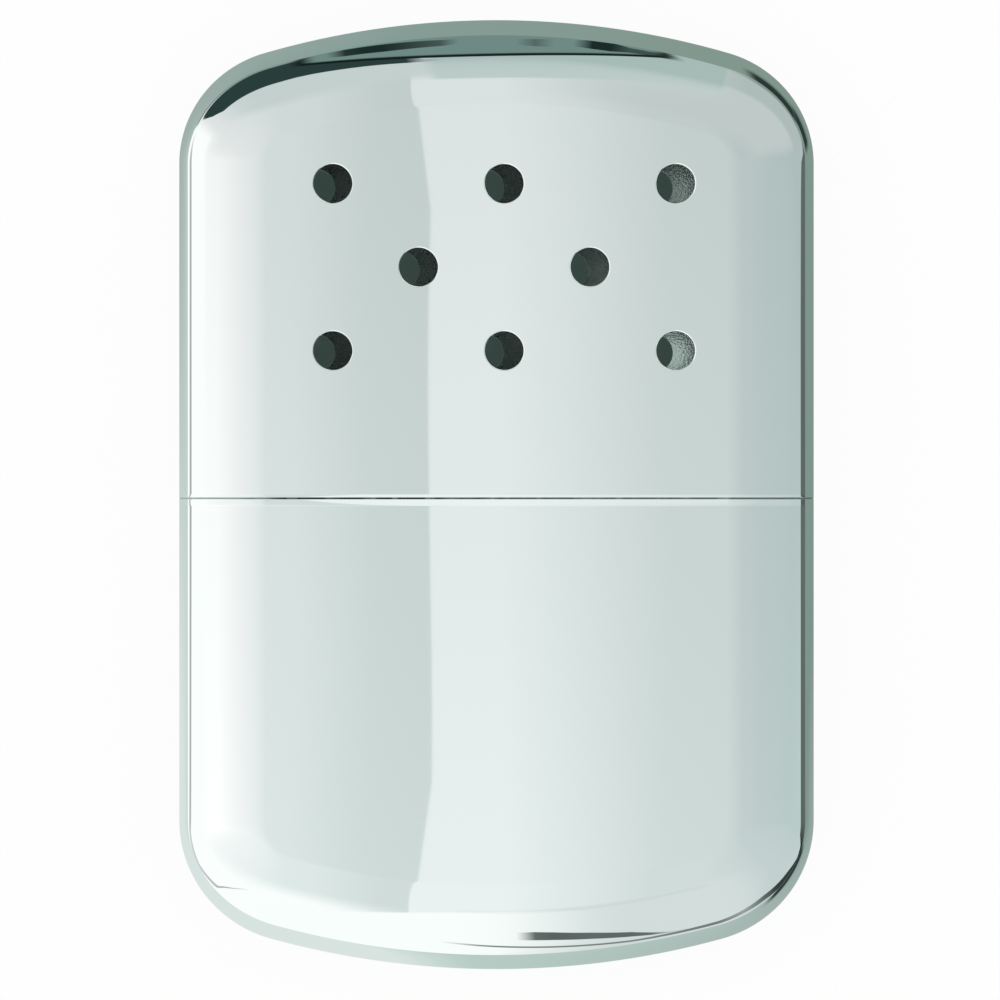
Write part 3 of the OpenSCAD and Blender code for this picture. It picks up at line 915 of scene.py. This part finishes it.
nickel, tree = new_material("satin_nickel_plated_brass")
spot = add(tree, "TexCoord").outputs["Object"]
stretched = add(tree, "VectorMath", {"operation": "MULTIPLY"}, {0: spot, 1: (1.0, 0.06, 1.0)})
marks = add(tree, "TexNoise", inputs={
    "Vector": stretched.outputs[0], "Scale": 1 / MARK_WIDTH, "Detail": 2.0})
cloud = add(tree, "TexNoise", inputs={"Vector": spot, "Scale": 1 / (4 * MM), "Detail": 3.0})
tint = add(tree, "Mix", {"data_type": "RGBA"}, {
    "Factor": cloud.outputs["Fac"], "A": linear("#DDD8CC"), "B": linear("#CFC9BA")})
rough = add(tree, "MapRange", inputs={
    "Value": marks.outputs["Fac"], "From Min": 0.3, "From Max": 0.7, "To Min": 0.16, "To Max": 0.3})
bump = add(tree, "Bump", inputs={"Height": marks.outputs["Fac"], "Distance": 0.004 * MM, "Strength": 1.0})
metal = add(tree, "BsdfPrincipled", inputs={
    "Base Color": tint.outputs["Result"], "Metallic": 1.0, "Roughness": rough.outputs[0],
    "Normal": bump.outputs[0]})
add(tree, "OutputMaterial", inputs={"Surface": metal.outputs[0]})

# %% [markdown]
# ## The deck
#
# The deck closes the tank. Its skirt is soldered inside the tank's shell, a small joggle brings it
# in by the lid's clearance, and its collar stands up into the lid. All of it follows the case's
# section, so the same grid helper is rolled round that section. The top is filled, the mouth cut
# out of it, and Solidify gives the sheet.

# %% The deck's collar
deck_low, deck_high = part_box("tank_deck")
LID_FIT = 0.1 * MM
DECK_EDGE_R = 1.0 * MM
DECK_EDGE_STEPS = 8
mouth_low, mouth_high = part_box("mouth_ferrule")
FERRULE_SHEET = 0.4 * MM
FLANGE = 1.4 * MM
mouth_l = mouth_high.x - mouth_low.x - 2 * FLANGE
mouth_w = mouth_high.z - mouth_low.z - 2 * FLANGE

profile = [(deck_low.y, SHEET), (seam_y - 0.4 * MM, SHEET), (seam_y, SHEET + LID_FIT)]
for k in range(DECK_EDGE_STEPS + 1):
    a = math.pi / 2 * k / DECK_EDGE_STEPS
    y = deck_high.y - DECK_EDGE_R * (1 - math.sin(a))
    profile.append((y, SHEET + LID_FIT + DECK_EDGE_R * (1 - math.cos(a))))

rings = []
for y, inset in profile:
    right = section(SIDE_EDGE_R, inset)
    ring = [(half_w - inward, rise) for inward, rise in right]
    ring += [(-x, -rise) for x, rise in ring]
    rings.append(ring + ring[:1])
collar = shaped_grid("deck_collar", len(rings[0]), len(profile), lambda i, j: Vector(
    (rings[j][i][0], profile[j][0], mid_z + rings[j][i][1])), wrap=True)
edit(collar)
pick(collar, "EDGE", lambda line: line.is_boundary and all(
    abs(v.co.y - deck_high.y) < 1e-7 for v in line.verts))
bpy.ops.mesh.edge_face_add()
leave_facing_out()
mouth_cutter = oblong("mouth_cutter", mouth_l, mouth_w, deck_high.y - 2 * MM, deck_high.y + 2 * MM)
bpy.ops.object.mode_set(mode="OBJECT")
cut(collar, [mouth_cutter])
print("deck of", len(collar.data.polygons), "faces")

# %% [markdown]
# Four shallow bumps are pressed out of the collar, and the lid grips on them. Each is the cap of a
# sphere that a cutting plane leaves. Then the whole deck gets its sheet and its plate.

# %% Grip bumps and the deck's finish
BUMP_R = 6 * MM
BUMP_RISE = 0.04 * MM
BUMP_X = 14 * MM

bumps = []
collar_face = half_t - SHEET - LID_FIT
for face in (1, -1):
    for side in (-1, 1):
        depth = collar_face + BUMP_RISE - BUMP_R
        middle = (side * BUMP_X, (seam_y + deck_high.y) / 2, mid_z + face * depth)
        bpy.ops.mesh.primitive_uv_sphere_add(segments=32, ring_count=180, radius=BUMP_R, location=middle)
        bump = bpy.context.object
        bpy.ops.object.transform_apply(location=True, rotation=True, scale=True)
        edit(bump)
        bpy.ops.mesh.select_all(action="SELECT")
        bpy.ops.mesh.bisect(
            plane_co=(0, 0, mid_z + face * collar_face), plane_no=(0, 0, face), clear_inner=True)
        bpy.ops.object.mode_set(mode="OBJECT")
        bumps.append(bump)
apply_modifier(collar, "SOLIDIFY", thickness=SHEET, offset=-1, use_even_offset=True)
select_only(collar, *bumps)
bpy.ops.object.join()
bpy.ops.object.shade_smooth_by_angle(angle=SHARP)
collar.data.materials.clear()
collar.data.materials.append(chrome)
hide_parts("tank_deck")
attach(collar, "tank")

# %% [markdown]
# ## The mouth
#
# The ferrule's flange sits under the deck and its tube comes up through it: one cap is inset by the
# flange and raised, and the bore bridged through. The grille just inside the lip is a disc with
# seven slots across it.

# %% Mouth ferrule and grille
GRILLE_SLOTS = 7
GRILLE_SLOT = (1.8 * MM, 4.8 * MM)

ferrule = oblong(
    "ferrule", mouth_l + 2 * FLANGE, mouth_w + 2 * FLANGE, mouth_low.y, mouth_low.y + FERRULE_SHEET)
cap(ferrule, 1)
step(FLANGE, mouth_high.y - mouth_low.y - FERRULE_SHEET)
step(FERRULE_SHEET)
cap(ferrule, -1)
step(FLANGE + FERRULE_SHEET)
open_through(ferrule)
finish_pressed(ferrule, 0.14 * MM, "mouth_ferrule", "tank", nickel)

grille_low, grille_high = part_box("mouth_grille")
grille_l = grille_high.x - grille_low.x
grille = oblong("grille", grille_l, grille_high.z - grille_low.z, grille_low.y, grille_high.y)
bpy.ops.object.mode_set(mode="OBJECT")


def slot_cutters(count, pitch, length, width, low_y, high_y):
    """A row of slots across the mouth, each with its longer way along X or along Z."""
    made = []
    for k in range(count):
        slot = oblong("slot_cutter", max(length, width), min(length, width), low_y, high_y)
        bpy.ops.object.mode_set(mode="OBJECT")
        if width > length:
            for point in slot.data.vertices:
                point.co = (point.co.z - mid_z, point.co.y, mid_z + point.co.x)
        for point in slot.data.vertices:
            point.co.x += (k - (count - 1) / 2) * pitch
        edit(slot)
        leave_facing_out()
        made.append(slot)
    return made


cut(grille, slot_cutters(
    GRILLE_SLOTS, mouth_l / (GRILLE_SLOTS + 1), *GRILLE_SLOT, grille_low.y - MM, grille_high.y + MM))
finish_pressed(grille, 0.08 * MM, "mouth_grille", "tank", nickel)

# %% [markdown]
# ## The burner's foot, cage and cap
#
# The foot's skirt clips over the mouth. It has a bead to grip at the bottom and a shelf at the top
# that lands on the mouth's lip. The cage stands on the shelf: an oblong tube with windows. The cap
# closes it, with a raised middle and a row of slots.

# %% Burner skirt
skirt_low, skirt_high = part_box("burner_skirt")
BEAD_W = 0.4 * MM
BEAD_H = 0.5 * MM
BURNER_SHEET = 0.4 * MM
SHELF_LIP = 2.0 * MM
BURNER_FIT = 0.05 * MM

skirt_l = skirt_high.x - skirt_low.x
skirt_w = skirt_high.z - skirt_low.z
skirt = oblong("skirt", skirt_l, skirt_w, skirt_low.y, skirt_low.y + BEAD_H)
cap(skirt, 1)
step(BEAD_W, skirt_high.y - skirt_low.y - BEAD_H)
step(BURNER_SHEET + BURNER_FIT + SHELF_LIP)
cap(skirt, -1)
step(BEAD_W + BURNER_SHEET, skirt_high.y - skirt_low.y - BURNER_SHEET)
step(BURNER_FIT + SHELF_LIP)
open_through(skirt)
finish_pressed(skirt, 0.12 * MM, "burner_skirt", "burner", nickel)

# %% Burner cage
cage_low, cage_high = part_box("burner_cage")
WINDOWS = 4
WINDOW_RIB = 1.0 * MM
WINDOW_SILL = 0.7 * MM
END_WINDOW = 3.0 * MM
WINDOW_CORNER = 0.5 * MM

cage_l = cage_high.x - cage_low.x
cage_w = cage_high.z - cage_low.z
cage = oblong("cage", cage_l, cage_w, cage_low.y, cage_high.y)
cap(cage, 1)
step(BURNER_SHEET)
cap(cage, -1)
step(BURNER_SHEET)
open_through(cage)

window_pitch = (cage_l - cage_w) / WINDOWS
window_h = cage_high.y - cage_low.y - 2 * WINDOW_SILL
window_y = (cage_low.y + cage_high.y) / 2
openings = [((k - (WINDOWS - 1) / 2) * window_pitch, (window_pitch - WINDOW_RIB, window_h, 2 * cage_w))
            for k in range(WINDOWS)]
openings.append((0, (2 * cage_l, window_h, END_WINDOW)))
cutters = []
for x, size in openings:
    bpy.ops.mesh.primitive_cube_add(size=1, location=(x, window_y, mid_z), scale=size)
    opening = bpy.context.object
    bpy.ops.object.transform_apply(location=True, rotation=True, scale=True)
    edit(opening)
    through = 0 if size[0] > size[2] else 2
    pick(opening, "EDGE", lambda line: abs(
        (line.verts[0].co - line.verts[1].co)[through]) > size[through] / 2)
    bpy.ops.mesh.bevel(offset=WINDOW_CORNER, segments=5)
    bpy.ops.object.mode_set(mode="OBJECT")
    cutters.append(opening)
cut(cage, cutters)
finish_pressed(cage, 0.06 * MM, "burner_cage", "burner", nickel)

# %% Burner cap
cap_low, cap_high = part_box("burner_cap")
BOSS_INSET = 1.5 * MM
CAP_SLOTS = 5
CAP_SLOT = (3.4 * MM, 1.6 * MM)
CAP_SLOT_PITCH = cage_l / (CAP_SLOTS + 0.6)

crown_cap = oblong("cap", cage_l, cage_w, cap_low.y, cap_low.y + BURNER_SHEET)
cap(crown_cap, 1)
step(BOSS_INSET, cap_high.y - cap_low.y - BURNER_SHEET)
bpy.ops.object.mode_set(mode="OBJECT")
cut(crown_cap, slot_cutters(CAP_SLOTS, CAP_SLOT_PITCH, *CAP_SLOT, cap_low.y - MM, cap_high.y + MM))
finish_pressed(crown_cap, 0.12 * MM, "burner_cap", "burner", nickel)

# %% [markdown]
# ## Wire gauze
#
# Three pieces of stainless gauze hold the mat: one on the shelf and one behind the windows of each
# side. It is a plain weave: each wire goes over one and under the next. One wire is a grid rolled
# round its own waving axis. An Array modifier repeats it, a second set starts half a wave later,
# and the same is done the other way across.

# %% Wire material
wire_metal, tree = new_material("drawn_stainless_wire")
spot = add(tree, "TexCoord").outputs["Object"]
scale_marks = add(tree, "TexNoise", inputs={"Vector": spot, "Scale": 1 / (1.2 * MM), "Detail": 4.0})
heat = add(tree, "Mix", {"data_type": "RGBA"}, {
    "Factor": scale_marks.outputs["Fac"], "A": linear("#B9B7B1"), "B": linear("#8B8377")})
metal = add(tree, "BsdfPrincipled", inputs={
    "Base Color": heat.outputs["Result"], "Metallic": 1.0, "Roughness": 0.34})
add(tree, "OutputMaterial", inputs={"Surface": metal.outputs[0]})

# %% Weaving
WEAVE = 0.55 * MM
WIRE_SIDES = 6
STEPS_A_CROSSING = 4


def wires(length, count, across, wire_r, start):
    """Every other wire of one way of the weave, as one piece in the XY plane round the origin."""
    steps = round(length / WEAVE) * STEPS_A_CROSSING

    def place(i, j):
        along = (j / steps - 0.5) * length
        lift = wire_r * math.cos(math.pi * (along / WEAVE + start)) * (-1 if across else 1)
        turn = 2 * math.pi * i / WIRE_SIDES
        side = wire_r * math.cos(turn) + (start - (count - 1) / 2) * WEAVE
        up = lift + wire_r * math.sin(turn)
        return Vector((side, along, up)) if across else Vector((along, side, up))

    strand = shaped_grid("strand", WIRE_SIDES + 1, steps + 1, place, wrap=True)
    bpy.ops.object.shade_smooth()
    step_way = (2 * WEAVE, 0, 0) if across else (0, 2 * WEAVE, 0)
    apply_modifier(strand, "ARRAY", count=(count + 1 - start) // 2, use_relative_offset=False,
                   use_constant_offset=True, constant_offset_displace=step_way)
    return strand


def gauze(name, node, width, height, thickness):
    """A gauze of that size in the XY plane, with its ends closed, ready to be put in its place."""
    wire_r = thickness / 4
    rows = int(height / WEAVE)
    columns = int(width / WEAVE)
    strands = [wires(columns * WEAVE, rows, False, wire_r, start) for start in (0, 1)]
    strands += [wires(rows * WEAVE, columns, True, wire_r, start) for start in (0, 1)]
    select_only(*strands)
    bpy.ops.object.join()
    cloth = bpy.context.object
    cloth.name = cloth.data.name = name
    edit(cloth)
    bpy.ops.mesh.select_all(action="SELECT")
    bpy.ops.mesh.fill_holes(sides=WIRE_SIDES)
    leave_facing_out()
    cloth.data.materials.clear()
    cloth.data.materials.append(wire_metal)
    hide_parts(node)
    print(name, "of", rows, "by", columns, "wires,", len(cloth.data.polygons), "faces")
    return cloth


# %% The three gauzes
for name, node in (("gauze_front", "window_gauze_front"), ("gauze_back", "window_gauze_back")):
    low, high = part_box(node)
    centre = (low + high) / 2
    cloth = gauze(name, node, high.x - low.x, high.y - low.y, high.z - low.z)
    for point in cloth.data.vertices:
        point.co += centre
    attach(cloth, "burner")

low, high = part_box("floor_gauze")
centre = (low + high) / 2
cloth = gauze("gauze_floor", "floor_gauze", high.x - low.x, high.z - low.z, high.y - low.y)
for point in cloth.data.vertices:
    point.co = (centre.x + point.co.x, centre.y - point.co.z, centre.z + point.co.y)
trim = oblong("gauze_trim", high.x - low.x, high.z - low.z, low.y - MM, high.y + MM)
bpy.ops.object.mode_set(mode="OBJECT")
# the crossing wires touch, so the trim has to allow for a mesh that meets itself
apply_modifier(cloth, "BOOLEAN", operation="INTERSECT", object=trim, solver="EXACT", use_self=True)
print("trimmed to", len(cloth.data.polygons), "faces")
bpy.data.objects.remove(trim)
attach(cloth, "burner")

# %% [markdown]
# ## Soft fill
#
# The wads, the wick and the mat are loose or pressed fibre, so none of them has a true edge. Each
# starts from its solid, remeshed evenly. Smoothing rounds it, and a noise pushes its skin in by up
# to a few tenths of a millimetre, so it stays inside the space that its solid holds.

# %% Soft fill helper
def soft_fill(name, node, voxel, rounds, lump, depth, material, body):
    """A soft piece in its node's place: remeshed, smoothed, and pushed in by up to depth in lumps."""
    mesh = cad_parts[node].data.copy()
    piece = bpy.data.objects.new(name, mesh)
    mesh.name = name
    bpy.context.collection.objects.link(piece)
    edit(piece)
    bpy.ops.mesh.select_all(action="SELECT")
    bpy.ops.mesh.remove_doubles(threshold=1e-6)
    bpy.ops.object.mode_set(mode="OBJECT")
    apply_modifier(piece, "REMESH", mode="VOXEL", voxel_size=voxel)
    apply_modifier(piece, "SMOOTH", factor=0.5, iterations=rounds)
    moved = []
    for point in piece.data.vertices:
        wave = noise.fractal(point.co / lump, 0.6, 2.1, 4)
        moved.append(point.co - point.normal * depth * (0.5 + 0.5 * max(-1.0, min(1.0, wave))))
    for point, place in zip(piece.data.vertices, moved):
        point.co = place
    select_only(piece)
    bpy.ops.object.shade_smooth()
    piece.data.materials.clear()
    piece.data.materials.append(material)
    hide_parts(node)
    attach(piece, body)
    print(name, "has", len(piece.data.polygons), "faces")


# %% [markdown]
# Fibre shows as fine threads that lie every way. Three noises, each drawn out along another
# direction, cross each other, and the greatest of them drives both the colour and the bump.

# %% Fibre materials
def fibre_material(name, light, dark, thread, length, relief, sheen):
    made, tree = new_material(name)
    spot = add(tree, "TexCoord").outputs["Object"]
    layers = []
    for turn in (25, -40, 80):
        laid = add(tree, "Mapping", inputs={
            "Vector": spot, "Rotation": (math.radians(turn), math.radians(turn * 0.7), math.radians(turn)),
            "Scale": (1 / length, 1 / thread, 1 / thread)})
        layers.append(add(tree, "TexNoise", inputs={
            "Vector": laid.outputs[0], "Scale": 1.0, "Detail": 2.0, "Distortion": 0.6}).outputs["Fac"])
    first = add(tree, "Math", {"operation": "MAXIMUM"}, {0: layers[0], 1: layers[1]})
    both = add(tree, "Math", {"operation": "MAXIMUM"}, {0: first.outputs[0], 1: layers[2]})
    depth = add(tree, "MapRange", inputs={"Value": both.outputs[0], "From Min": 0.42, "From Max": 0.72})
    shade = add(tree, "Mix", {"data_type": "RGBA"}, {
        "Factor": depth.outputs[0], "A": linear(dark), "B": linear(light)})
    bump = add(tree, "Bump", inputs={"Height": depth.outputs[0], "Distance": relief, "Strength": 1.0})
    cloth = add(tree, "BsdfPrincipled", inputs={
        "Base Color": shade.outputs["Result"], "Roughness": 0.95, "Sheen Weight": sheen,
        "Sheen Roughness": 0.6, "Normal": bump.outputs[0]})
    add(tree, "OutputMaterial", inputs={"Surface": cloth.outputs[0]})
    return made


# Cotton fibres are about 0.02 mm across, drawn here as tufts ten times as coarse, so that they show
cotton = fibre_material("carded_cotton_wool", "#F3F1EA", "#CFCBBF", 0.2 * MM, 3 * MM, 0.12 * MM, 0.4)
felt = fibre_material("pressed_wool_felt", "#E3DDCE", "#B7AE9B", 0.12 * MM, 1.2 * MM, 0.06 * MM, 0.3)
# Platinum on glass fibre: the bright fibre turns a dark metallic grey
catalyst = fibre_material(
    "platinum_coated_glass_wool", "#7C7D80", "#2C2D30", 0.1 * MM, 1.6 * MM, 0.08 * MM, 0.1)

# %% Wads, wick and catalyst mat
for place in ("left", "middle", "right"):
    soft_fill("wad_" + place, "wadding_" + place, 0.5 * MM, 12, 5 * MM, 0.5 * MM, cotton,
              "tank")
soft_fill("wick", "wick_pad", 0.2 * MM, 4, 2 * MM, 0.12 * MM, felt, "tank")
soft_fill("mat", "catalyst_mat", 0.15 * MM, 6, 1.5 * MM, 0.2 * MM, catalyst, "burner")
